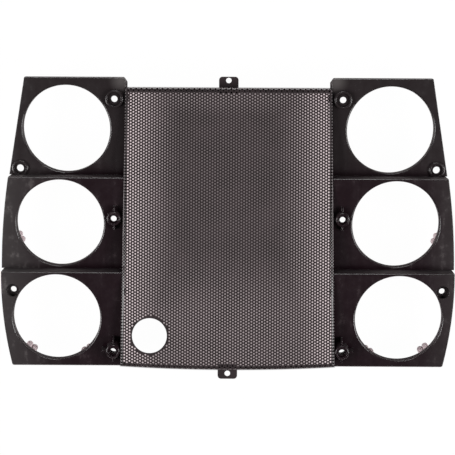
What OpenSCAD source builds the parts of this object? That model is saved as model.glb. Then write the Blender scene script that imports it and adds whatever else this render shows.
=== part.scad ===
/* [Layout] */
// Lean of the grille sheet from the vertical, top edge backwards, in degrees
lean = 11; // [9:0.5:12]
// Depth of the inner screw seats behind the sheet's front plane
seat_depth = 3; // [2:0.5:5]

/* [Grille sheet] */
// Thickness of the perforated sheet
sheet_t = 1.5; // [1:0.1:2]
// Width across the top edge
sheet_top_w = 237; // [230:0.5:240]
// Width across the bottom corners
sheet_bottom_w = 245.6; // [243:0.5:250]
// Top edge above the middle screws, along the sheet
sheet_up = 150.6; // [146:0.2:152]
// Bottom corners below the middle screws, along the sheet
sheet_down = 168.8; // [166:0.2:172]
// How far the bottom edge bows down between its corners
bottom_bow = 3.6; // [2.4:0.2:4.2]
// Depth of the edges that are folded back
fold_depth = 20; // [16:0.5:24]
// Inner radius of the folds
fold_r = 1; // [0.6:0.1:2]
// Distance between neighbouring perforations
hole_pitch = 10.5; // [9.5:0.5:14]
// Diameter of a perforation
hole_d = 6.6; // [4:0.1:7.4]
// Plain border between the folds and the nearest perforation
hole_border = 1.6; // [1:0.2:4]
// Diameter of the latch cut-out
latch_d = 40; // [34:0.5:46]
// Latch cut-out left of the centre line
latch_x = 89.5; // [80:0.5:92]
// Latch cut-out below the middle screws, along the sheet
latch_down = 133.8; // [126:0.2:138]
// Plain ring round the latch cut-out
latch_ring = 1.2; // [0.8:0.1:3]

/* [Lugs] */
// Width of the top and bottom lugs
lug_w = 22.6; // [18:0.2:28]
// Plate thickness of the lugs
lug_t = 2.5; // [2:0.1:3]
// Reach of the top lug past the folded edge
top_lug_reach = 14.9; // [13:0.1:18]
// Reach of the bottom lug past the folded edge
bottom_lug_reach = 12.6; // [12:0.1:16]
// Length of the lug's foot along the fold
lug_foot = 12; // [8:0.5:15]
// Corner radius of a lug's free end
lug_corner_r = 4; // [2:0.5:6]
// Diameter of the lug's screw hole
lug_hole_d = 6.6; // [5.5:0.1:6.8]
// Hole centre from the free end of the top lug
top_lug_hole_in = 4.2; // [4.2:0.1:6]
// Hole centre from the free end of the bottom lug
bottom_lug_hole_in = 6.2; // [5:0.1:7]

/* [Lamp panels] */
// Wall thickness of the moulding
wall = 2.8; // [2.5:0.1:3.2]
// Top edge above the middle screws, along the sheet
panel_up = 162.7; // [160:0.2:165]
// Bottom edge below the middle screws, along the sheet
panel_down = 170.6; // [169:0.2:174]
// Half the width across the outer edges at the top
panel_top_x = 234.4; // [233:0.2:238]
// Half the width across the feet of the top plates
panel_foot_x = 254.5; // [254:0.2:256]
// Half the width across the widest point of the middle plates
panel_mid_x = 263; // [262:0.2:265]
// Half the width across the widest point of the bottom plates
panel_low_x = 260.4; // [260:0.2:262]
// Height of the widest points below the middle screws, along the sheet
bulge_down = 75; // [72:0.5:78]
// Radius of the middle plates' bowed outer edge
mid_bulge_r = 730; // [700:5:780]
// Radius of the bottom plates' bowed outer edge
low_bulge_r = 430; // [410:5:460]
// Rear rim behind the sheet's front plane
rim_depth = 34; // [30:0.5:40]
// Edge radius along the front of the ledges
ridge_r = 3; // [2:0.5:4]
// Corner radius of the outline
corner_r = 3.4; // [2:0.2:5]
// How far the corner rounding stands out, which leaves a soft crease at each end of it
corner_ease = 0.2; // [0.1:0.1:0.4]
// Clearance between the sheet's side folds and the panels
panel_gap = 0.2; // [0.1:0.1:0.6]

/* [Lamp openings] */
// Diameter of a lamp opening
lamp_d = 100.8; // [98:0.2:102]
// Height between neighbouring lamp centres
lamp_pitch = 106.8; // [106.4:0.1:109]
// Middle lamp centres below the middle screws
lamp_mid_down = 6.9; // [6:0.1:8]
// Half the distance between the top lamp centres
lamp_top_x = 187.2; // [184:0.2:190]
// Half the distance between the middle lamp centres
lamp_mid_x = 193.9; // [193:0.1:197]
// Half the distance between the bottom lamp centres
lamp_low_x = 197.5; // [197:0.1:200]
// Lamp plates behind the sheet's front plane, at the lamp centres
plate_setback = 12; // [11:0.2:14]
// Depth of the collar round an opening, from the front of its plate
collar_depth = 10; // [8:0.5:16]
// Wall of the collar
collar_t = 2; // [1.6:0.1:2.2]
// Edge radius at the front of an opening
rim_r = 1.8; // [1:0.1:2]
// Diameter of a lamp post behind the plates
post_d = 7.6; // [7.2:0.1:8]
// Length of a lamp post from the front of its plate
post_len = 42; // [38:0.5:60]
// Lamp posts' distance from the lamp centre
post_ring_r = 57; // [56:0.2:58]
// Angle between the two posts of a pair, in degrees
post_turn = 7; // [6:0.2:7]

/* [Screw bosses] */
// Half the distance between the inner screws
screw_in_x = 131.3; // [131:0.1:133]
// Upper inner screws above the middle screws
screw_top_up = 134.8; // [130:0.2:138]
// Lower inner screws below the middle screws
screw_low_down = 149.2; // [146:0.2:153]
// Half the distance between the upper outer screws
screw_upper_x = 241.6; // [240:0.2:242.4]
// Upper outer screws above the ledge below them
screw_upper_up = 7.4; // [6.6:0.2:12]
// Half the distance between the lower outer screws
screw_lower_x = 247.2; // [246.8:0.2:249]
// Lower outer screws below the ledge above them
screw_lower_down = 21.8; // [19:0.2:22]
// Hole diameter of the upper inner screws
screw_top_d = 7.4; // [6.5:0.1:9]
// Hole diameter of the upper outer screws
screw_d = 8.3; // [7:0.1:9]
// Hole diameter of the middle and lower screws
screw_low_d = 6.8; // [6:0.1:8]
// Outer diameter of the upper inner bosses
boss_top_d = 20.7; // [18:0.1:22]
// Outer diameter of the upper outer bosses
boss_d = 19; // [16:0.2:19.6]
// Outer diameter of the middle and lower bosses
boss_low_d = 16; // [14:0.2:16.4]
// Depth of the dish in a boss, down to the screw's seat
dish_depth = 3; // [2:0.2:4]
// Wall left round the dish
dish_wall = 2.5; // [2.4:0.1:3]
// Recess of the lower outer screws' seats behind their plate
cup_depth = 6.6; // [4:0.2:7]
// Diameter of that recess
cup_d = 15; // [14.6:0.1:15.6]
// Edge radius at the front of that recess
cup_edge_r = 0.8; // [0.4:0.1:0.8]
// Rib thickness round the middle and lower inner bosses
rib_t = 1.8; // [1.4:0.1:2.4]
// Length of those ribs from the boss
rib_len = 6; // [4:0.5:9]
// Front of those ribs behind the screw's seat
rib_drop = 0.6; // [0.4:0.1:2]
// Draft of the ribs' free ends
rib_draft = 1; // [0.4:0.1:2]

/* [Rivets] */
// Shank diameter of the rivets through the side folds
rivet_d = 4; // [3.2:0.1:5]
// Diametral clearance of a rivet in its holes
rivet_gap = 0.2; // [0.1:0.1:0.5]
// Head diameter
rivet_head_d = 8; // [6.5:0.1:9.5]
// Head height
rivet_head_h = 1.2; // [0.8:0.1:2]
// Rivets below the front ridge of their plate, along the sheet
rivet_down = 22; // [16:0.5:26]
// Rivets behind the sheet's front plane
rivet_depth = 14.5; // [13:0.5:15]

/* [Hidden] */
$fn = 64;
fine_fn = 256;
far = 400;
eps = 0.01;
steel = "#2b2b2d";
plastic = "#2a2325";

// The sheet's own axes: x across, z up along the sheet, y backwards through it
module sheet_frame() rotate([-lean, 0, 0]) translate([0, -seat_depth, 0]) children();

// A shape drawn in X and Z, carried from y0 back to y1
module along_y(y0, y1) translate([0, y1, 0]) rotate([90, 0, 0]) linear_extrude(y1 - y0) children();

// A shape drawn in Y and Z, carried from x0 to x1
module along_x(x0, x1) translate([x0, 0, 0]) rotate([90, 0, 90]) linear_extrude(x1 - x0) children();

// A turned shape on a screw or lamp axis: radius in the drawing's x, depth behind y0 in its y
module turned(at, y0) translate([at.x, y0, at.y]) rotate([-90, 0, 0]) rotate_extrude() children();

// What rounding takes off corner p, between edges that leave it along directions a and b. With an ease the
// rounding stands out by that much and crosses the edges at a slight angle
module corner_waste(p, a, b, r, ease = 0) {
    ua = a / norm(a);
    ub = b / norm(b);
    half = acos(ua * ub) / 2;
    tip = p - ease * (ua + ub);
    centre = tip + (ua + ub) / norm(ua + ub) * r / sin(half);
    difference() {
        polygon([tip, tip + ua * r / tan(half), centre, tip + ub * r / tan(half)]);
        translate(centre) circle(r);
    }
}

// Sheet outline: half width at a height, the bottom edge as an arc through its corners
sheet_taper = (sheet_bottom_w - sheet_top_w) / 2 / (sheet_up + sheet_down);
function sheet_half_w(z) = sheet_top_w / 2 + (sheet_up - z) * sheet_taper;
bend_r = fold_r + sheet_t;
bow_r = (pow(sheet_bottom_w / 2, 2) + pow(bottom_bow, 2)) / (2 * bottom_bow);
bow_z = -sheet_down - bottom_bow + bow_r;
bow_angle = asin((sheet_bottom_w / 2 - bend_r) / bow_r);
side_angle = atan(sheet_taper);
side_len = (sheet_up + sheet_down - 2 * bend_r) / cos(side_angle);

// The flat of the sheet, inside the folds by the given inset
module sheet_flat(inset) intersection() {
    polygon([
        [-sheet_half_w(sheet_up - inset) + inset / cos(side_angle), sheet_up - inset],
        [sheet_half_w(sheet_up - inset) - inset / cos(side_angle), sheet_up - inset],
        [sheet_half_w(-sheet_down - bottom_bow) - inset / cos(side_angle), -sheet_down - bottom_bow],
        [-sheet_half_w(-sheet_down - bottom_bow) + inset / cos(side_angle), -sheet_down - bottom_bow]
    ]);
    translate([0, bow_z]) circle(bow_r - inset, $fn = fine_fn);
}

// Perforations stand in columns, each column half a pitch up from its neighbours
column_gap = hole_pitch * sqrt(3) / 2;
hole_inset = bend_r + hole_border + hole_d / 2;
function hole_at(i, j) = [i * column_gap, (j + abs(i) % 2 / 2) * hole_pitch];
function bow_reach(x) = bow_z - sqrt(pow(bow_r - hole_inset, 2) - x * x);
function hole_fits(p) = abs(p.x) < sheet_half_w(p.y) - hole_inset
    && p.y < sheet_up - hole_inset
    && p.y > bow_reach(p.x)
    && norm(p - [-latch_x, -latch_down]) > (latch_d + hole_d) / 2 + latch_ring;
columns = floor(sheet_bottom_w / 2 / column_gap);
rows = ceil((sheet_down + bottom_bow) / hole_pitch);
perforations = [for (i = [-columns:columns], j = [-rows:rows]) if (hole_fits(hole_at(i, j))) hole_at(i, j)];

// Section of a folded edge, its edge at x = 0 and front at y = 0: a lap on the flat, the bend, the strip
fold_lap = 0.5;
module fold_section() {
    translate([-bend_r - fold_lap, 0]) square([fold_lap, sheet_t]);
    intersection() {
        translate([-bend_r, bend_r]) difference() {
            circle(bend_r);
            circle(fold_r);
        }
        translate([-bend_r, 0]) square(bend_r);
    }
    translate([-sheet_t, bend_r]) square([sheet_t, fold_depth - bend_r]);
}

// Fold along the side at +x, from its lower end upwards
module side_fold() translate([sheet_half_w(-sheet_down + bend_r), 0, -sheet_down + bend_r])
    rotate([0, -side_angle, 0]) linear_extrude(side_len) fold_section();

module top_fold() translate([-sheet_top_w / 2 + bend_r, 0, sheet_up])
    rotate([0, 90, 0]) linear_extrude(sheet_top_w - 2 * bend_r) rotate(180) mirror([0, 1]) fold_section();

// Fold along the bowed bottom edge, turned about the bow's centre
module bottom_fold() translate([0, 0, bow_z]) rotate([-90, 0, 0])
    rotate([0, 0, 90 - bow_angle]) rotate_extrude(angle = 2 * bow_angle, $fn = fine_fn)
        translate([bow_r, 0]) fold_section();

// Rivets join each side fold to the inner wall of its panel, one under each ridge
function ridge_up(k) = k == 0 ? panel_up : along_sheet(plate_y(k), ledge_z(k - 1));
function rivet_z(k) = ridge_up(k) - rivet_down;
module at_rivets() for (k = [0:2])
    translate([sheet_half_w(rivet_z(k)) - sheet_t / cos(side_angle), rivet_depth, rivet_z(k)])
        rotate([0, 90 - side_angle, 0]) children();

module rivet_holes() at_rivets() translate([0, 0, -wall]) cylinder(d = rivet_d + rivet_gap, h = 4 * wall);

module grille_sheet() color(steel) sheet_frame() difference() {
    union() {
        translate([0, sheet_t, 0]) rotate([90, 0, 0]) linear_extrude(sheet_t) difference() {
            sheet_flat(bend_r);
            for (p = perforations) translate(p) circle(d = hole_d);
            translate([-latch_x, -latch_down]) circle(d = latch_d);
        }
        side_fold();
        mirror([1, 0, 0]) side_fold();
        top_fold();
        bottom_fold();
    }
    rivet_holes();
    mirror([1, 0, 0]) rivet_holes();
}

// A lug's foot is welded inside the fold, and its leg stands behind the fold's rear edge, which is at z = 0
module lug(reach, hole_in) {
    along_x(-lug_w / 2, lug_w / 2) translate([fold_depth - lug_foot, -sheet_t - lug_t])
        square([lug_foot + lug_t, lug_t]);
    difference() {
        along_y(fold_depth, fold_depth + lug_t) difference() {
            translate([-lug_w / 2, -sheet_t - lug_t]) square([lug_w, sheet_t + lug_t + reach]);
            for (side = [-1, 1])
                corner_waste([side * lug_w / 2, reach], [-side, 0], [0, -1], lug_corner_r);
        }
        translate([0, fold_depth - eps, reach - hole_in]) rotate([-90, 0, 0])
            cylinder(d = lug_hole_d, h = lug_t + 2 * eps);
    }
}

module top_lug() color(steel) sheet_frame() translate([0, 0, sheet_up]) lug(top_lug_reach, top_lug_hole_in);

// The bottom fold falls away from the lug's foot by this much at the foot's corners
lug_bow = bow_r - sheet_t - sqrt(pow(bow_r - sheet_t, 2) - pow(lug_w / 2, 2));
module bottom_lug() color(steel) sheet_frame()
    translate([0, 0, -sheet_down - bottom_bow + lug_bow]) mirror([0, 0, 1])
        lug(bottom_lug_reach, bottom_lug_hole_in);

// Lamps, plates and ledges, counted from the top: plates upright, each one step ahead of the one above
lamps = [
    [lamp_top_x, lamp_pitch - lamp_mid_down],
    [lamp_mid_x, -lamp_mid_down],
    [lamp_low_x, -lamp_pitch - lamp_mid_down]
];
function plane_y(z, depth) = (depth - seat_depth + z * sin(lean)) / cos(lean);
function plate_y(k) = plane_y(lamps[k].y, plate_setback);
function ledge_z(k) = (lamps[k].y + lamps[k + 1].y) / 2;

// Height along the sheet of a point at depth y and height z, and the reverse for a point on plate k
function along_sheet(y, z) = y * sin(lean) + z * cos(lean);
function plate_z(up, k) = (up - plate_y(k) * sin(lean)) / cos(lean);

// Side view of the panel: the stair of plates and ledges, set in by a wall, back to a plane behind the
// sheet. It runs on past the top and bottom edges
module stair(inset, back) {
    top = panel_up + 2 * wall;
    foot = -panel_down - 2 * wall;
    polygon([
        [plate_y(0) + inset, top],
        [plate_y(0) + inset, ledge_z(0) - inset],
        [plate_y(1) + inset, ledge_z(0) - inset],
        [plate_y(1) + inset, ledge_z(1) - inset],
        [plate_y(2) + inset, ledge_z(1) - inset],
        [plate_y(2) + inset, foot],
        [plane_y(foot, back), foot],
        [plane_y(top, back), top]
    ]);
}

module rounded_stair(back) difference() {
    backwards = [cos(lean), -sin(lean)];
    stair(0, back);
    corner_waste([plate_y(0), plate_z(panel_up, 0)], backwards, [0, -1], ridge_r, corner_ease);
    for (k = [1, 2])
        corner_waste([plate_y(k), ledge_z(k - 1)], [1, 0], [0, -1], ridge_r, corner_ease);
    corner_waste([plate_y(2), plate_z(-panel_down, 2)], backwards, [0, 1], ridge_r, corner_ease);
}

// Outer edge of each plate: a straight line beside the top one, a bow beside the others
edge_taper = (panel_foot_x - panel_top_x) / (panel_up - along_sheet(plate_y(0), ledge_z(0)));
function edge_x(up) = panel_top_x + (panel_up - up) * edge_taper;
function bulge_r(k) = k == 1 ? mid_bulge_r : low_bulge_r;
function bulge_x(k) = (k == 1 ? panel_mid_x : panel_low_x) - bulge_r(k);

// Front view, along the sheet, of the panel with plate k's outer edge
module outline(k, inset) intersection() {
    translate([0, inset - panel_down]) square([far, panel_up + panel_down - 2 * inset]);
    if (k == 0)
        polygon([
            [0, panel_up],
            [edge_x(panel_up) - inset, panel_up],
            [edge_x(-panel_down) - inset, -panel_down],
            [0, -panel_down]
        ]);
    else
        translate([bulge_x(k), -bulge_down]) circle(bulge_r(k) - inset, $fn = fine_fn);
}

// What rounding takes off the outline's corners: top outer, bottom outer and top inner
module outline_waste() {
    low_drop = panel_down - bulge_down;
    low_reach = sqrt(pow(bulge_r(2), 2) - pow(low_drop, 2));
    low_corner = [bulge_x(2) + low_reach, -panel_down];
    inner_corner = [sheet_half_w(panel_up) + panel_gap, panel_up];
    corner_waste([panel_top_x, panel_up], [-1, 0], [edge_taper, -1], corner_r, corner_ease);
    corner_waste(low_corner, [-1, 0], [low_drop, low_reach], corner_r, corner_ease);
    corner_waste(inner_corner, [1, 0], [sheet_taper, -1], corner_r, corner_ease);
}

// Level band of plate k, between the ledges below and above it, raised by a lift
module band(k, lift) {
    low = k == 2 ? -far : ledge_z(k) + lift;
    high = k == 0 ? far : ledge_z(k - 1) + lift;
    translate([0, -far, low]) cube([far, 2 * far, high - low]);
}

module panel_block(inset, lift) for (k = [0:2]) intersection() {
    sheet_frame() along_y(-far, far) outline(k, inset);
    band(k, lift);
}

// Everything outside the side fold of the sheet by the given distance
module beside_sheet(away) sheet_frame() along_y(-far, far) polygon([
    [sheet_half_w(far) + away, far],
    [far, far],
    [far, -far],
    [sheet_half_w(-far) + away, -far]
]);

// The hollow's bands are lifted by a wall, so that the steps in the outer edge keep their thickness
module panel_shell() difference() {
    intersection() {
        difference() {
            panel_block(0, 0);
            sheet_frame() along_y(-far, far) outline_waste();
        }
        along_x(0, far) rounded_stair(rim_depth);
        beside_sheet(panel_gap);
    }
    intersection() {
        panel_block(wall, wall);
        along_x(0, far) stair(wall, far / 2);
        beside_sheet(panel_gap + wall);
    }
}

// Screw places of the right panel, with the depth of each seat
top_screw = [screw_in_x, screw_top_up];
mid_screw = [screw_in_x, 0];
low_screw = [screw_in_x, -screw_low_down];
upper_screw = [screw_upper_x, ledge_z(0) + screw_upper_up];
lower_screw = [screw_lower_x, ledge_z(1) - screw_lower_down];
function inner_seat_y(screw) = plane_y(screw.y, seat_depth);

// A boss stands on plate k, with a round-edged rim ahead of its seat
module boss(screw, d, seat_y, k) {
    rim_round = dish_wall / 2;
    turned(screw, seat_y - dish_depth) {
        translate([0, rim_round]) square([d / 2, plate_y(k) + wall / 2 - seat_y + dish_depth - rim_round]);
        square([d / 2 - rim_round, dish_depth]);
        translate([d / 2 - rim_round, rim_round]) circle(rim_round);
    }
}

// The dish in front of a seat, the screw hole through the seat and, where it stands off its plate, the core
// behind it
module boss_bore(screw, d, seat_y, k, bore_d) turned(screw, seat_y - dish_depth) {
    core_r = d / 2 - dish_wall;
    back = plate_y(k) + 2 * wall - seat_y + dish_depth;
    square([core_r, dish_depth]);
    square([bore_d / 2, back]);
    if (seat_y < plate_y(k))
        translate([0, dish_depth + wall]) square([core_r, back - dish_depth - wall]);
}

// Four upright ribs steady a tall boss on its plate
module ribs(screw, d, seat_y, k) for (turn = [0:90:270])
    translate([screw.x, plate_y(k) + wall / 2, screw.y]) rotate([0, turn, 0])
        translate([0, 0, -rib_t / 2]) linear_extrude(rib_t) {
            reach = d / 2 + rib_len;
            front = seat_y + rib_drop - plate_y(k) - wall / 2;
            polygon([[0, 0], [reach, 0], [reach - rib_draft, front], [0, front]]);
        }

// Lamp posts behind the plates stand in pairs, as [plate, angle of a pair from the outward side]
posts = [[1, -28], [2, -56], [2, -126]];
module lamp_posts() for (p = posts, turn = [0, post_turn]) {
    place = lamps[p[0]] + post_ring_r * [cos(p[1] + turn), sin(p[1] + turn)];
    turned(place, plate_y(p[0]) + wall / 2) {
        square([post_d / 2, post_len - wall / 2 - post_d / 2]);
        translate([0, post_len - wall / 2 - post_d / 2]) intersection() {
            circle(post_d / 2);
            square(post_d / 2);
        }
    }
}

module collars() for (k = [0:2])
    turned(lamps[k], plate_y(k) + wall / 2) square([lamp_d / 2 + collar_t, collar_depth - wall / 2]);

module lamp_bores() for (k = [0:2]) {
    turned(lamps[k], plate_y(k) - far / 4) square([lamp_d / 2, far / 2]);
    turned(lamps[k], plate_y(k)) corner_waste([lamp_d / 2, 0], [1, 0], [0, 1], rim_r);
}

// Room for the lamps in front of the plates, out to the rims
module lamp_fronts() for (k = [0:2])
    turned(lamps[k], plate_y(k) - far / 4) square([lamp_d / 2 + rim_r, far / 4 + 2 * eps]);

module lamp_panel() difference() {
    union() {
        panel_shell();
        collars();
        lamp_posts();
        boss(top_screw, boss_top_d, inner_seat_y(top_screw), 0);
        boss(mid_screw, boss_low_d, inner_seat_y(mid_screw), 1);
        boss(low_screw, boss_low_d, inner_seat_y(low_screw), 2);
        boss(upper_screw, boss_d, plate_y(0), 0);
        turned(lower_screw, plate_y(2) + wall / 2) square([cup_d / 2 + dish_wall, cup_depth + wall / 2]);
        difference() {
            intersection() {
                union() {
                    ribs(mid_screw, boss_low_d, inner_seat_y(mid_screw), 1);
                    ribs(low_screw, boss_low_d, inner_seat_y(low_screw), 2);
                }
                beside_sheet(panel_gap);
            }
            lamp_fronts();
        }
    }
    lamp_bores();
    boss_bore(top_screw, boss_top_d, inner_seat_y(top_screw), 0, screw_top_d);
    boss_bore(mid_screw, boss_low_d, inner_seat_y(mid_screw), 1, screw_low_d);
    boss_bore(low_screw, boss_low_d, inner_seat_y(low_screw), 2, screw_low_d);
    boss_bore(upper_screw, boss_d, plate_y(0), 0, screw_d);
    turned(lower_screw, plate_y(2)) {
        square([cup_d / 2, cup_depth]);
        square([screw_low_d / 2, cup_depth + 2 * wall]);
        corner_waste([cup_d / 2, 0], [1, 0], [0, 1], cup_edge_r, corner_ease);
    }
    sheet_frame() rivet_holes();
}

module right_lamp_panel() color(plastic) lamp_panel();

module left_lamp_panel() color(plastic) mirror([1, 0, 0]) lamp_panel();

// Blind rivet from inside the sheet: head on the fold, set end on the panel's inner wall
rivet_grip = sheet_t + panel_gap + wall;
module rivet() rotate_extrude() {
    translate([0, -rivet_head_h]) square([rivet_head_d / 2, rivet_head_h]);
    square([rivet_d / 2, rivet_grip]);
    translate([0, rivet_grip]) square([(rivet_d + rivet_head_d) / 4, rivet_head_h]);
}

module panel_rivets() color(steel) sheet_frame() {
    at_rivets() rivet();
    mirror([1, 0, 0]) at_rivets() rivet();
}

grille_sheet();
top_lug();
bottom_lug();
left_lamp_panel();
right_lamp_panel();
panel_rivets();
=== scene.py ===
import math

import bpy
import numpy as np
from mathutils import Matrix, Vector


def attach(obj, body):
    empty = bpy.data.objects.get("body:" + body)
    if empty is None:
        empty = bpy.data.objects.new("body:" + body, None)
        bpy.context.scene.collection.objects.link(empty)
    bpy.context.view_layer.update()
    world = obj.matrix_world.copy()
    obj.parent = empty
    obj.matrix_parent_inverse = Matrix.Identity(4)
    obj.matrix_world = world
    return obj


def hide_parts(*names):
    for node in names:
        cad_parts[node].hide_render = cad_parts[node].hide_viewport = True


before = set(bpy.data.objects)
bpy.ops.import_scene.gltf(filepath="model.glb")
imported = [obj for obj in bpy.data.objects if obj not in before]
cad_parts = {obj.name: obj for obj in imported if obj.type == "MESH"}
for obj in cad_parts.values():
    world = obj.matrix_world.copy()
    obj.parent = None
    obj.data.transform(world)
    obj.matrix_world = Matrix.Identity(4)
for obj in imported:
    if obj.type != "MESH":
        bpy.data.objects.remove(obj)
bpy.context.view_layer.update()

# Lamp panels
# One black glass-filled nylon moulding on each side, three upright plates stepped like stairs, each with
# a collared lamp opening. It is a thin shell, open at the back, screwed to the nose through its bosses.

# Sizes are written in mm and meshes are in metres. The sheet leans back by LEAN, and into_sheet points square
# into its front
MM = 0.001
LEAN = math.radians(11.0)
into_sheet = (0.0, math.cos(LEAN), -math.sin(LEAN))


def linear(hex_colour):
    """An sRGB hex colour as linear RGBA: the standard sRGB curve, channel by channel."""
    srgb = np.array([int(hex_colour[i:i + 2], 16) for i in (1, 3, 5)]) / 255
    curve = np.where(srgb <= 0.04045, srgb / 12.92, ((srgb + 0.055) / 1.055) ** 2.4)
    return (*curve, 1.0)


def join(tree, node, links):
    """Feeds a node's inputs. A link is (input, source), where the source is a node, taken at its first output
    in use, or one output of a node, or a plain value."""
    for socket, source in links:
        if isinstance(source, bpy.types.Node):
            source = next(output for output in source.outputs if output.enabled)
        if isinstance(source, bpy.types.NodeSocket):
            tree.links.new(source, node.inputs[socket])
        else:
            node.inputs[socket].default_value = source


def add(tree, kind, links=(), stops=(), **settings):
    """Adds one node. A setting is a property or a named input's value, links are as for join, and stops are
    a ramp's (position, hex colour) pairs from dark to light."""
    node = tree.nodes.new(kind)
    for name, value in settings.items():
        if hasattr(node, name):
            setattr(node, name, value)
        else:
            node.inputs[name.replace("_", " ")].default_value = value
    join(tree, node, links)
    if stops:
        ramp = node.color_ramp.elements
        while len(ramp) < len(stops):
            ramp.new(1.0)
        for stop, (position, colour) in zip(ramp, stops):
            stop.position, stop.color = position, linear(colour)
    return node


def new_material(name):
    """A node material with its Principled shader, as (material, tree, shader)."""
    material = bpy.data.materials.new(name)
    material.use_nodes = True
    tree = material.node_tree
    return material, tree, tree.nodes["Principled BSDF"]


def dress(name, material):
    """Gives a CAD node its material."""
    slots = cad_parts[name].data.materials
    slots.clear()
    slots.append(material)


# Moulded nylon: a smooth semi-gloss skin, brownish black under its own reflections, with faint upright rub
# marks. A painted reflection turns it grey towards the outer edges, a little more on the left, where it is also
# scraped. The upper plates have an even tone of their own, with a painted highlight in their inner top corners.
# All moulded edges are slightly rounded. Walls that slid along the mould, such as the collars, are dull,
# recesses get a painted shade that cuts their gloss, and the ends of the lamp posts are pale. The fine grain of
# the mould is drawn coarse enough to show
NYLON_IOR = 1.53
EDGE_MM, SHADE_REACH_MM = 0.9, 9.0
GRAIN_MM, GRAIN_DEPTH, GRAIN_STRENGTH = 0.9, 0.2, 0.06
SCUFF_MM, RUB_MM, RUB_STRETCH, RUB_SHARE = 14.0, 7.0, 0.1, 0.35
SKIN_TONES = (0.4, "#160c10"), (0.58, "#190f13"), (0.7, "#2f2528")
OUTER_SHEEN_TONE, OUTER_SHEEN_SHARE = "#363333", 0.7
OUTER_SHEEN_FROM, OUTER_SHEEN_TO, OUTER_SHEEN_SHIFT = 195.0, 280.0, 14.0
SCRAPE_TONE, SCRAPE_SHARE, SCRAPE_FROM, SCRAPE_TO = "#6a6564", 0.45, 0.54, 0.68
UPPER_PLATE_TONE, UPPER_PLATE_SHARE, UPPER_PLATE_FROM, UPPER_PLATE_TO = "#1f1a1b", 0.92, 40.0, 70.0
CORNER_SHEEN_TONE, CORNER_SHEEN_SHARE, CORNER_SHEEN_R, CORNER_SHEEN_AT = "#585453", 0.5, 17.0, (123.0, 28.6, 156.0)
POST_END_TONE, POST_END_FROM, POST_END_TO = "#c4b5b8", 33.0, 38.0
POLISH, RUBBED_POLISH, SLID_POLISH = 0.16, 0.3, 0.65
OPEN_GLOSS, SHADED_RECESS_GLOSS = 0.36, 0.08

nylon, tree, shader = new_material("moulded_black_nylon")
coordinates = add(tree, "ShaderNodeTexCoord").outputs
place, normal = coordinates["Object"], coordinates["Normal"]
split = add(tree, "ShaderNodeSeparateXYZ", [(0, place)])
scuff = add(tree, "ShaderNodeTexNoise", [("Vector", place)],
            Scale=1 / (SCUFF_MM * MM), Detail=6.0, Roughness=0.7)
upright = add(tree, "ShaderNodeMapping", [("Vector", place)], Scale=(1.0, 1.0, RUB_STRETCH))
rub = add(tree, "ShaderNodeTexNoise", [("Vector", upright)], Scale=1 / (RUB_MM * MM), Detail=3.0)
marks = add(tree, "ShaderNodeMix", [("A", scuff), ("B", rub)], Factor=RUB_SHARE)
tone = add(tree, "ShaderNodeValToRGB", [("Fac", marks)], stops=SKIN_TONES)

# Painted reflection: towards the outer edges, a little more on the left, the skin is mixed to a lighter grey
shifted = add(tree, "ShaderNodeMath", [(0, split.outputs["X"]), (1, OUTER_SHEEN_SHIFT * MM)], operation="SUBTRACT")
outwards = add(tree, "ShaderNodeMath", [(0, shifted)], operation="ABSOLUTE")
outer_painted_sheen = add(tree, "ShaderNodeMapRange", [("Value", outwards)], interpolation_type="SMOOTHSTEP",
           From_Min=OUTER_SHEEN_FROM * MM, From_Max=OUTER_SHEEN_TO * MM, To_Max=OUTER_SHEEN_SHARE)
scrape = add(tree, "ShaderNodeMapRange", [("Value", marks)],
             From_Min=SCRAPE_FROM, From_Max=SCRAPE_TO, To_Max=SCRAPE_SHARE)
scraped = add(tree, "ShaderNodeMath", [(0, scrape), (1, outer_painted_sheen)], operation="MULTIPLY")
upper_plates = add(tree, "ShaderNodeMapRange", [("Value", split.outputs["Z"])], interpolation_type="SMOOTHSTEP",
           From_Min=UPPER_PLATE_FROM * MM, From_Max=UPPER_PLATE_TO * MM, To_Max=UPPER_PLATE_SHARE)
sideways = add(tree, "ShaderNodeMath", [(0, split.outputs["X"])], operation="ABSOLUTE")
mirrored = add(tree, "ShaderNodeCombineXYZ",
               [("X", sideways), ("Y", split.outputs["Y"]), ("Z", split.outputs["Z"])])
# Painted highlight: a lighter patch in the upper plates' inner top corners, on both sides
corner = add(tree, "ShaderNodeVectorMath", [(0, mirrored), (1, np.array(CORNER_SHEEN_AT) * MM)], operation="DISTANCE")
painted_corner_sheen = add(tree, "ShaderNodeMapRange", [("Value", corner)], interpolation_type="SMOOTHSTEP",
            From_Min=CORNER_SHEEN_R * MM, From_Max=0.0, To_Max=CORNER_SHEEN_SHARE)
depth = add(tree, "ShaderNodeVectorMath", [(0, place), (1, into_sheet)], operation="DOT_PRODUCT")
post_ends = add(tree, "ShaderNodeMapRange", [("Value", depth)], From_Min=POST_END_FROM * MM, From_Max=POST_END_TO * MM)
for share, colour in ((outer_painted_sheen, OUTER_SHEEN_TONE), (scraped, SCRAPE_TONE), (upper_plates, UPPER_PLATE_TONE), (painted_corner_sheen, CORNER_SHEEN_TONE),
                      (post_ends, POST_END_TONE)):
    tone = add(tree, "ShaderNodeMix", [("Factor", share), ("A", tone), ("B", linear(colour))],
               data_type="RGBA")

polish = add(tree, "ShaderNodeMapRange", [("Value", marks)],
             From_Min=0.4, From_Max=0.65, To_Min=POLISH, To_Max=RUBBED_POLISH)
facing = add(tree, "ShaderNodeSeparateXYZ", [(0, normal)])
square_on = add(tree, "ShaderNodeMath", [(0, facing.outputs["Y"])], operation="ABSOLUTE")
roughness = add(tree, "ShaderNodeMapRange", [("Value", square_on), ("To Max", polish)],
                From_Min=0.05, From_Max=0.3, To_Min=SLID_POLISH)
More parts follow.
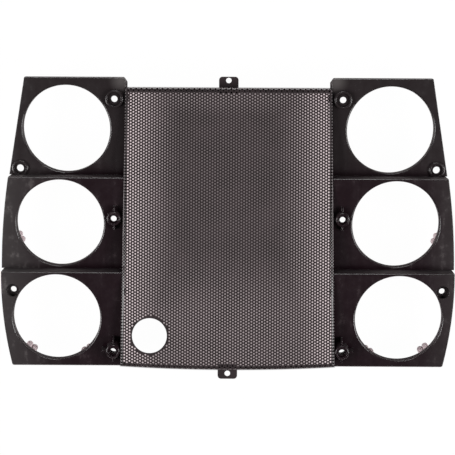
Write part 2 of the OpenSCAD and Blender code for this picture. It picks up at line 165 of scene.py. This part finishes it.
# Painted shade: ambient occlusion lowers the gloss in recesses, so they render darker
recess_shade = add(tree, "ShaderNodeAmbientOcclusion", samples=6, Distance=SHADE_REACH_MM * MM)
gloss = add(tree, "ShaderNodeMapRange", [("Value", recess_shade.outputs["AO"])],
            From_Min=0.5, From_Max=0.95, To_Min=SHADED_RECESS_GLOSS, To_Max=OPEN_GLOSS)
grain = add(tree, "ShaderNodeTexNoise", [("Vector", place)], Scale=1 / (GRAIN_MM * MM), Detail=2.0)
edges = add(tree, "ShaderNodeBevel", samples=6, Radius=EDGE_MM * MM)
relief = add(tree, "ShaderNodeBump", [("Height", grain), ("Normal", edges)],
             Strength=GRAIN_STRENGTH, Distance=GRAIN_DEPTH * MM)
join(tree, shader, [("Base Color", tone), ("Roughness", roughness), ("Specular IOR Level", gloss),
                    ("Normal", relief), ("IOR", NYLON_IOR)])

dress("left_lamp_panel", nylon)
dress("right_lamp_panel", nylon)

# Grille sheet
# Punched steel sheet with round holes in staggered columns. All four edges are folded straight back after
# punching, so holes run on round the bends, and the sheet is powder coated black. A round latch cut-out
# at the lower left has a plain ring round it.

SEAT_DEPTH = 3.0
SHEET_T = 1.5
SHEET_TOP_W, SHEET_BOTTOM_W = 237.0, 245.6
SHEET_UP, SHEET_DOWN, BOTTOM_BOW = 150.6, 168.8, 3.6
FOLD_R, FOLD_DEPTH = 1.0, 20.0
HOLE_PITCH, HOLE_D = 3.5, 2.2
LATCH_U, LATCH_V, LATCH_D, LATCH_RING = -89.5, -133.8, 40.0, 1.2
# A smaller face is dropped, nearer points count as one, and an edge that turns less is shaded smooth
SLIVER_MM2, SAME_MM = 1e-4, 1e-4
SMOOTH_TURN = math.radians(50.0)

bend_r = FOLD_R + SHEET_T
neutral_r = FOLD_R + SHEET_T / 2
bend_length = neutral_r * math.pi / 2
strip_length = bend_length + FOLD_DEPTH - bend_r
side_taper = (SHEET_BOTTOM_W - SHEET_TOP_W) / 2 / (SHEET_UP + SHEET_DOWN)
side_angle = math.atan(side_taper)
bow_r = ((SHEET_BOTTOM_W / 2) ** 2 + BOTTOM_BOW ** 2) / (2 * BOTTOM_BOW)
bow_v = bow_r - SHEET_DOWN - BOTTOM_BOW


def in_frame(u, v, w):
    """Sheet coordinates in mm (across, up along the sheet, behind its front) turned back by the lean, in
    metres."""
    y = v * math.sin(LEAN) + (w - SEAT_DEPTH) * math.cos(LEAN)
    z = v * math.cos(LEAN) - (w - SEAT_DEPTH) * math.sin(LEAN)
    return np.stack([u, y, z], axis=-1) * MM


def past_bends(u, v):
    """How far a point of the flat sheet lies past the start of the side, top and bottom bends, in mm."""
    half_w = SHEET_TOP_W / 2 + (SHEET_UP - v) * side_taper
    side = (np.abs(u) - half_w) * math.cos(side_angle) + bend_r
    top = v - SHEET_UP + bend_r
    bottom = np.hypot(u, bow_v - v) - bow_r + bend_r
    return side, top, bottom


def outward(u, v):
    """Unit directions across the side, top and bottom bends, as (u, v) arrays."""
    side = np.sign(u) * math.cos(side_angle), np.full_like(u, math.sin(side_angle))
    top = np.zeros_like(u), np.ones_like(u)
    reach = np.hypot(u, bow_v - v)
    bottom = u / reach, (v - bow_v) / reach
    return side, top, bottom


def trimmed(u, v):
    """The flat blank: points past the end of a strip, in a corner notch or inside the latch hole move to its
    edge. A point past two strips is moved twice."""
    for turn in range(2):
        side, top, bottom = past_bends(u, v)
        ends = np.maximum(top, bottom)
        notch = (side > 0) & (ends > 0)
        limits = [np.where(notch & (side <= ends), 0, strip_length),
                  np.where(notch & (side > top), 0, strip_length),
                  np.where(notch & (side > bottom), 0, strip_length)]
        for past, limit, (du, dv) in zip((side, top, bottom), limits, outward(u, v)):
            spare = np.maximum(past - limit, 0)
            u, v = u - du * spare, v - dv * spare
    reach = np.hypot(u - LATCH_U, v - LATCH_V)
    push = np.maximum(LATCH_D / 2 / np.maximum(reach, SAME_MM), 1)
    return LATCH_U + (u - LATCH_U) * push, LATCH_V + (v - LATCH_V) * push


def folded(u, v, radius):
    """The blank bent back: round each bend by angle = length / neutral radius, then straight on behind it.
    radius is that of the layer, outer for the front of the sheet and inner for its back."""
    w = np.full_like(u, bend_r - radius)
    shift_u, shift_v = np.zeros_like(u), np.zeros_like(v)
    for past, (du, dv) in zip(past_bends(u, v), outward(u, v)):
        past = np.maximum(past, 0)
        angle = np.minimum(past / neutral_r, math.pi / 2)
        shift = radius * np.sin(angle) - past
        shift_u, shift_v = shift_u + du * shift, shift_v + dv * shift
        w = w + radius * (1 - np.cos(angle)) + np.maximum(past - bend_length, 0)
    return in_frame(u + shift_u, v + shift_v, w)


def punched_blank():
    """Six corners for each hole of a staggered lattice, with the webs between holes as faces of the blank.
    A web is a quad between the facing sides of two holes, or a triangle between three; a cell with no hole
    is filled with its hexagon. Returns corner coordinates and the faces as index arrays."""
    column = HOLE_PITCH * math.sqrt(3) / 2
    columns = int((SHEET_BOTTOM_W / 2 + strip_length) / column) + 2
    rows = int((SHEET_DOWN + BOTTOM_BOW + strip_length) / HOLE_PITCH) + 2
    i, j = np.meshgrid(np.arange(-columns, columns + 1), np.arange(-rows, rows + 1), indexing="ij")
    odd = i % 2
    cell_u, cell_v = i * column, (j + odd / 2) * HOLE_PITCH
    turn = np.arange(6) * math.pi / 3
    corner_u = cell_u[..., None] + HOLE_D / 2 * np.cos(turn)
    corner_v = cell_v[..., None] + HOLE_D / 2 * np.sin(turn)
    width = 2 * rows + 1
    first = ((i + columns) * width + j + rows) * 6
    inner = (slice(1, -1), slice(1, -1))
    own = first[inner]
    above = own + 6
    right_up = own + (width + odd[inner]) * 6
    right_down = right_up - 6
    webs = [np.stack([own + k, other + (k + 4) % 6, other + (k + 3) % 6, own + (k + 1) % 6], -1)
            for k, other in ((1, above), (0, right_up), (5, right_down))]
    quads = np.concatenate([web.reshape(-1, 4) for web in webs])
    knots = [np.stack([own, right_down + 2, right_up + 4], -1),
             np.stack([own + 1, right_up + 3, above + 5], -1)]
    triangles = np.concatenate([knot.reshape(-1, 3) for knot in knots])
    near_latch = np.hypot(cell_u - LATCH_U, cell_v - LATCH_V) < (LATCH_D + HOLE_D) / 2 + LATCH_RING
    plain = first[near_latch][:, None] + np.arange(6)
    return corner_u.ravel(), corner_v.ravel(), [quads, triangles, plain]


def kept(u, v, faces):
    """The faces that still have an area once the blank is trimmed, by the shoelace sum, and don't lie along the
    latch hole's edge."""
    corner_u, corner_v = u[faces], v[faces]
    area = np.sum(corner_u * np.roll(corner_v, -1, 1) - np.roll(corner_u, -1, 1) * corner_v, 1) / 2
    at_latch = np.hypot(corner_u - LATCH_U, corner_v - LATCH_V) < LATCH_D / 2 + SAME_MM
    return faces[(area > SLIVER_MM2) & ~at_latch.all(1)]


def thick_mesh(name, front, back, faces):
    """A closed mesh from front faces, the same faces turned round at the back, and a wall along every open
    edge, which is one that no other face runs along the other way."""
    starts = np.concatenate([part.ravel() for part in faces])
    ends = np.concatenate([np.roll(part, -1, 1).ravel() for part in faces])
    count = len(front)
    rim = ~np.isin(ends * count + starts, starts * count + ends)
    rim &= np.linalg.norm(front[starts] - front[ends], axis=1) > SAME_MM * MM
    a, b = starts[rim], ends[rim]
    walls = np.stack([b, a, a + count, b + count], 1)
    parts = [*faces, *(part[:, ::-1] + count for part in faces), walls]
    used = np.unique(np.concatenate([part.ravel() for part in parts]))
    number = np.zeros(2 * count, int)
    number[used] = np.arange(len(used))
    polygons = sum((number[part].tolist() for part in parts), [])
    mesh = bpy.data.meshes.new(name)
    mesh.from_pydata(np.concatenate([front, back])[used], [], polygons)
    mesh.shade_smooth()
    mesh.set_sharp_from_angle(angle=SMOOTH_TURN)
    piece = bpy.data.objects.new(name, mesh)
    bpy.context.collection.objects.link(piece)
    return piece


# Powder coat: a satin black polyester skin with a slight orange peel, browned by fine dust in places. A painted
# grey highlight runs along the side and top bends, and the coat lies thin and dull on the folds' sides and in
# the holes
PEEL_MM, PEEL_DEPTH, PEEL_STRENGTH = 2.5, 0.2, 0.1
BROWNED_MM = 30.0
COAT_TONES = (0.35, "#1f191a"), (0.7, "#2b2325")
BEND_HIGHLIGHT_TONE = "#787273"
DULL, SATIN, BEND_SATIN = 0.95, 0.36, 0.22
COAT_GLOSS = 0.35
up_sheet = (0.0, math.sin(LEAN), math.cos(LEAN))

coat, tree, shader = new_material("satin_black_powder_coat")
coordinates = add(tree, "ShaderNodeTexCoord").outputs
place, normal = coordinates["Object"], coordinates["Normal"]
browned = add(tree, "ShaderNodeTexNoise", [("Vector", place)], Scale=1 / (BROWNED_MM * MM), Detail=5.0)
film = add(tree, "ShaderNodeValToRGB", [("Fac", browned)], stops=COAT_TONES)
peel = add(tree, "ShaderNodeTexNoise", [("Vector", place)], Scale=1 / (PEEL_MM * MM), Detail=1.0)
relief = add(tree, "ShaderNodeBump", [("Height", peel)], Strength=PEEL_STRENGTH, Distance=PEEL_DEPTH * MM)
turned = add(tree, "ShaderNodeVectorMath", [(0, normal), (1, into_sheet)], operation="DOT_PRODUCT")
square_on = add(tree, "ShaderNodeMath", [(0, turned)], operation="ABSOLUTE")
steep = add(tree, "ShaderNodeMapRange", [("Value", square_on)], From_Min=0.1, From_Max=0.2)
bend = add(tree, "ShaderNodeMapRange", [("Value", square_on), ("To Min", steep)],
           From_Min=0.62, From_Max=0.86, To_Max=0.0)
# Painted highlight: a grey line mixed in along the side and top bends, not along the bottom one
upwards = add(tree, "ShaderNodeVectorMath", [(0, normal), (1, up_sheet)], operation="DOT_PRODUCT")
painted_bend_highlight = add(tree, "ShaderNodeMapRange", [("Value", upwards), ("To Max", bend)], From_Min=-0.4, From_Max=-0.2)
tone = add(tree, "ShaderNodeMix", [("Factor", painted_bend_highlight), ("A", film), ("B", linear(BEND_HIGHLIGHT_TONE))],
           data_type="RGBA")
dull = add(tree, "ShaderNodeMapRange", [("Value", square_on)],
           From_Min=0.1, From_Max=0.4, To_Min=DULL, To_Max=0.0)
satin = add(tree, "ShaderNodeMapRange", [("Value", square_on)],
            From_Min=0.95, From_Max=0.99, To_Min=BEND_SATIN, To_Max=SATIN)
roughness = add(tree, "ShaderNodeMath", [(0, dull), (1, satin)], operation="MAXIMUM")
join(tree, shader, [("Base Color", tone), ("Roughness", roughness), ("Normal", relief),
                    ("Specular IOR Level", COAT_GLOSS)])

blank_u, blank_v, blank_faces = punched_blank()
blank_u, blank_v = trimmed(blank_u, blank_v)
blank_faces = [kept(blank_u, blank_v, faces) for faces in blank_faces]
front_points = folded(blank_u, blank_v, bend_r)
back_points = folded(blank_u, blank_v, FOLD_R)
bent = np.max(past_bends(blank_u, blank_v), axis=0) > 0
for name, wanted in (("grille_face", False), ("grille_folds", True)):
    part = [faces[bent[faces].any(1) == wanted] for faces in blank_faces]
    piece = thick_mesh(name, front_points, back_points, part)
    piece.data.materials.append(coat)
    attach(piece, "root")
    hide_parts("grille_sheet")

# Lugs
# Two steel tabs bent to an L and welded inside the top and bottom folds, coated with the sheet. Each has one
# screw hole in the leg that stands behind the fold.

dress("top_lug", coat)
dress("bottom_lug", coat)

# Rivets
# Plain steel blind rivets through the side folds into the panels' inner walls, three on each side, their heads
# inside the sheet.

# Rivet steel: bright drawn wire gone dull grey, with faint stains from handling
STAIN_MM = 3.0
RIVET_TONES = (0.3, "#6a686a"), (0.7, "#8d8c8e")
RIVET_ROUGHNESS = 0.38

rivet_steel, tree, shader = new_material("plain_rivet_steel")
place = add(tree, "ShaderNodeTexCoord").outputs["Object"]
stain = add(tree, "ShaderNodeTexNoise", [("Vector", place)], Scale=1 / (STAIN_MM * MM), Detail=3.0)
tone = add(tree, "ShaderNodeValToRGB", [("Fac", stain)], stops=RIVET_TONES)
join(tree, shader, [("Base Color", tone), ("Metallic", 1.0), ("Roughness", RIVET_ROUGHNESS)])
dress("panel_rivets", rivet_steel)

# Table, lamps and camera
# The grille lies over a wide white table, parallel to its sheet, with a dark card just under the sheet that
# carries painted light and shadow. Two large soft lamps light it from the sides and a weak one from above, and a
# long lens looks square at the sheet.

IMAGE_PX, SENSOR_MM = 455, 36.0
PX_MM = 1.1446
CAMERA_MM = 1453.0
AIM_U, AIM_V = -0.67, -9.47
ROLL = math.radians(0.3)
WHITE = (1.0, 1.0, 1.0, 1.0)
PAPER_ROUGHNESS = 0.9


def one_sided(tree, front):
    """Ends a stage material: the shader shows on the front, and the back is clear so that the part can be
    seen."""
    rear = add(tree, "ShaderNodeNewGeometry").outputs["Backfacing"]
    clear = add(tree, "ShaderNodeBsdfTransparent")
    sides = add(tree, "ShaderNodeMixShader", [(0, rear), (1, front), (2, clear)])
    join(tree, tree.nodes["Material Output"], [("Surface", sides)])


def stage_plane(name, half_u, low_v, high_v, w, material):
    """A rectangle of the stage at depth w, parallel to the sheet and facing the lens."""
    u, v = np.array([-half_u, half_u, half_u, -half_u]), np.array([low_v, low_v, high_v, high_v])
    mesh = bpy.data.meshes.new(name)
    mesh.from_pydata(in_frame(u, v, np.full(4, w)), [], [[0, 1, 2, 3]])
    mesh.materials.append(material)
    plane = bpy.data.objects.new(name, mesh)
    bpy.context.collection.objects.link(plane)


# Table: the camera sees it nearly plain white, with a trace of the shadow
TABLE_W, TABLE_REACH = 65.0, 1500.0
TABLE_TONE, SHADE_LEFT = "#f4eaea", 0.015

table, tree, shader = new_material("white_table")
join(tree, shader, [("Base Color", linear(TABLE_TONE)), ("Roughness", PAPER_ROUGHNESS)])
seen = add(tree, "ShaderNodeLightPath").outputs["Is Camera Ray"]
whiteness = add(tree, "ShaderNodeMath", [(0, seen), (1, 1 - SHADE_LEFT)], operation="MULTIPLY")
white = add(tree, "ShaderNodeEmission", Color=WHITE, Strength=1.0)
one_sided(tree, add(tree, "ShaderNodeMixShader", [(0, whiteness), (1, shader), (2, white)]))
stage_plane("table", TABLE_REACH, -TABLE_REACH, TABLE_REACH, TABLE_W, table)

# Card: dark matt paper, a sheet of painted shade cut to what the lens sees past the sheet, with a round opening
# at the latch cut-out. Only the lens sees a faint painted light on it, more towards the sides and the bottom,
# and a painted shadow rim under the folds. Each painted light is (where it starts, where it is full, its level),
# in mm past the edge. Each edge is an arc round a centre, and a straight edge's centre lies FAR off
CARD_W, CARD_SPARE, CARD_FOOT = 24.0, 4.0, 12.0
PAINTED_SHADE_TONE, PAINTED_LIGHT_TONE = "#151213", "#ffeef0"
SIDE_PAINTED_SHADOW, TOP_PAINTED_SHADOW, BOTTOM_PAINTED_SHADOW = 3.6, 6.0, 4.5
PAINTED_LIGHT_BASE = 0.18
SIDE_PAINTED_LIGHT, TOP_PAINTED_LIGHT, BOTTOM_PAINTED_LIGHT = (-70.0, 13.0, 0.88), (-36.0, -12.0, 0.3), (-150.0, -50.0, 0.38)
SOFT = 1.0
FAR = 1e5
spread = 1 + CARD_W / CAMERA_MM


def behind(u, v):
    """The point of the card that the lens sees past a point of the sheet: its place from the aim, times
    spread."""
    return in_frame(AIM_U + (u - AIM_U) * spread, AIM_V + (v - AIM_V) * spread, CARD_W)


card, tree, shader = new_material("painted_light_and_shade_card")
join(tree, shader, [("Base Color", linear(PAINTED_SHADE_TONE)), ("Roughness", PAPER_ROUGHNESS)])
place = add(tree, "ShaderNodeTexCoord").outputs["Object"]
away = add(tree, "ShaderNodeVectorMath", [(0, place), (1, behind(LATCH_U, LATCH_V))], operation="DISTANCE")
edge = LATCH_D / 2 * spread
cut_away = add(tree, "ShaderNodeMapRange", [("Value", away)], interpolation_type="SMOOTHSTEP",
               From_Min=(edge + 2 * SOFT) * MM, From_Max=edge * MM)
# Painted shadow: a dark rim just inside the sheet's edges, where the folds shade the ground
in_painted_shadow = painted_light = 0.0
split = add(tree, "ShaderNodeSeparateXYZ", [(0, place)])
sideways = add(tree, "ShaderNodeMath", [(0, split.outputs["X"])], operation="ABSOLUTE")
mirrored = add(tree, "ShaderNodeCombineXYZ",
               [("X", sideways), ("Y", split.outputs["Y"]), ("Z", split.outputs["Z"])])
half_mid = SHEET_TOP_W / 2 + SHEET_UP * side_taper
side_far = half_mid - FAR * math.cos(side_angle), -FAR * math.sin(side_angle)
for centre, reach, rim, (dim_at, bright_at, level) in ((side_far, FAR, SIDE_PAINTED_SHADOW, SIDE_PAINTED_LIGHT),
                                                       ((0.0, SHEET_UP - FAR), FAR, TOP_PAINTED_SHADOW, TOP_PAINTED_LIGHT),
                                                       ((0.0, bow_v), bow_r, BOTTOM_PAINTED_SHADOW, BOTTOM_PAINTED_LIGHT)):
    away = add(tree, "ShaderNodeVectorMath", [(0, mirrored), (1, behind(*centre))], operation="DISTANCE")
    edge = reach * spread
    largest = []
    for so_far, start, full, low, high in ((cut_away, -SOFT, SOFT, 0.0, 1.0),
                                           (in_painted_shadow, -rim - SOFT, -rim + SOFT, 0.0, 1.0),
                                           (painted_light, dim_at, bright_at, PAINTED_LIGHT_BASE, level)):
        step = add(tree, "ShaderNodeMapRange", [("Value", away)], interpolation_type="SMOOTHSTEP",
                   From_Min=(edge + start) * MM, From_Max=(edge + full) * MM, To_Min=low, To_Max=high)
        largest.append(add(tree, "ShaderNodeMath", [(0, so_far), (1, step)], operation="MAXIMUM"))
    cut_away, in_painted_shadow, painted_light = largest
# Painted light: the card glows to the lens only, more towards the sides and bottom, and not in the painted
# shadow rim
seen = add(tree, "ShaderNodeLightPath").outputs["Is Camera Ray"]
seen_painted_light = add(tree, "ShaderNodeMath", [(0, painted_light), (1, seen)], operation="MULTIPLY")
outside_painted_shadow = add(tree, "ShaderNodeMath", [(0, 1.0), (1, in_painted_shadow)], operation="SUBTRACT")
painted_light_share = add(tree, "ShaderNodeMath", [(0, seen_painted_light), (1, outside_painted_shadow)], operation="MULTIPLY")
painted_light_shader = add(tree, "ShaderNodeEmission", Color=linear(PAINTED_LIGHT_TONE), Strength=1.0)
front = add(tree, "ShaderNodeMixShader", [(0, painted_light_share), (1, shader), (2, painted_light_shader)])
clear = add(tree, "ShaderNodeBsdfTransparent")
one_sided(tree, add(tree, "ShaderNodeMixShader", [(0, cut_away), (1, front), (2, clear)]))
stage_plane("card", SHEET_BOTTOM_W / 2 + CARD_SPARE, -SHEET_DOWN - BOTTOM_BOW - CARD_FOOT,
            SHEET_UP + CARD_SPARE, CARD_W, card)

# Room: plain white to the camera, and a weak even light on the part
ROOM_LEVEL = 0.12
world = bpy.data.worlds.new("white_room")
world.use_nodes = True
tree = world.node_tree
room = tree.nodes["Background"]
join(tree, room, [("Color", WHITE), ("Strength", ROOM_LEVEL)])
seen = add(tree, "ShaderNodeLightPath").outputs["Is Camera Ray"]
plain = add(tree, "ShaderNodeBackground", Color=WHITE, Strength=1.0)
pick = add(tree, "ShaderNodeMixShader", [(0, seen), (1, room), (2, plain)])
join(tree, tree.nodes["World Output"], [("Surface", pick)])
bpy.context.scene.world = world

# Lamps: each one's place across, up along and behind the sheet in mm, its width and height in m, and its watts
LAMPS = (("left_lamp", (-1550, -480, -1400), (0.9, 1.0), 46.0),
         ("right_lamp", (1550, -480, -1400), (0.9, 1.0), 46.0),
         ("top_lamp", (0, 1500, -700), (1.0, 0.3), 13.0))
for name, at, size, power in LAMPS:
    lamp = bpy.data.lights.new(name, "AREA")
    lamp.shape = "RECTANGLE"
    lamp.size, lamp.size_y = size
    lamp.energy = power
    holder = bpy.data.objects.new(name, lamp)
    holder.location = Vector(in_frame(*at))
    holder.rotation_euler = (-holder.location).to_track_quat("-Z", "Y").to_euler()
    bpy.context.collection.objects.link(holder)

# Camera: its width of view is the picture's width at the sheet
camera_data = bpy.data.cameras.new("camera")
camera_data.sensor_width = SENSOR_MM
camera_data.lens = SENSOR_MM * CAMERA_MM / (IMAGE_PX * PX_MM)
camera = bpy.data.objects.new("camera", camera_data)
aim, eye = (Vector(in_frame(AIM_U, AIM_V, w)) for w in (0.0, -CAMERA_MM))
facing = (aim - eye).to_track_quat("-Z", "Y").to_matrix().to_4x4()
camera.matrix_world = Matrix.Translation(eye) @ facing @ Matrix.Rotation(ROLL, 4, "Z")
bpy.context.collection.objects.link(camera)
bpy.context.scene.camera = camera
bpy.context.scene.view_settings.view_transform = "Standard"
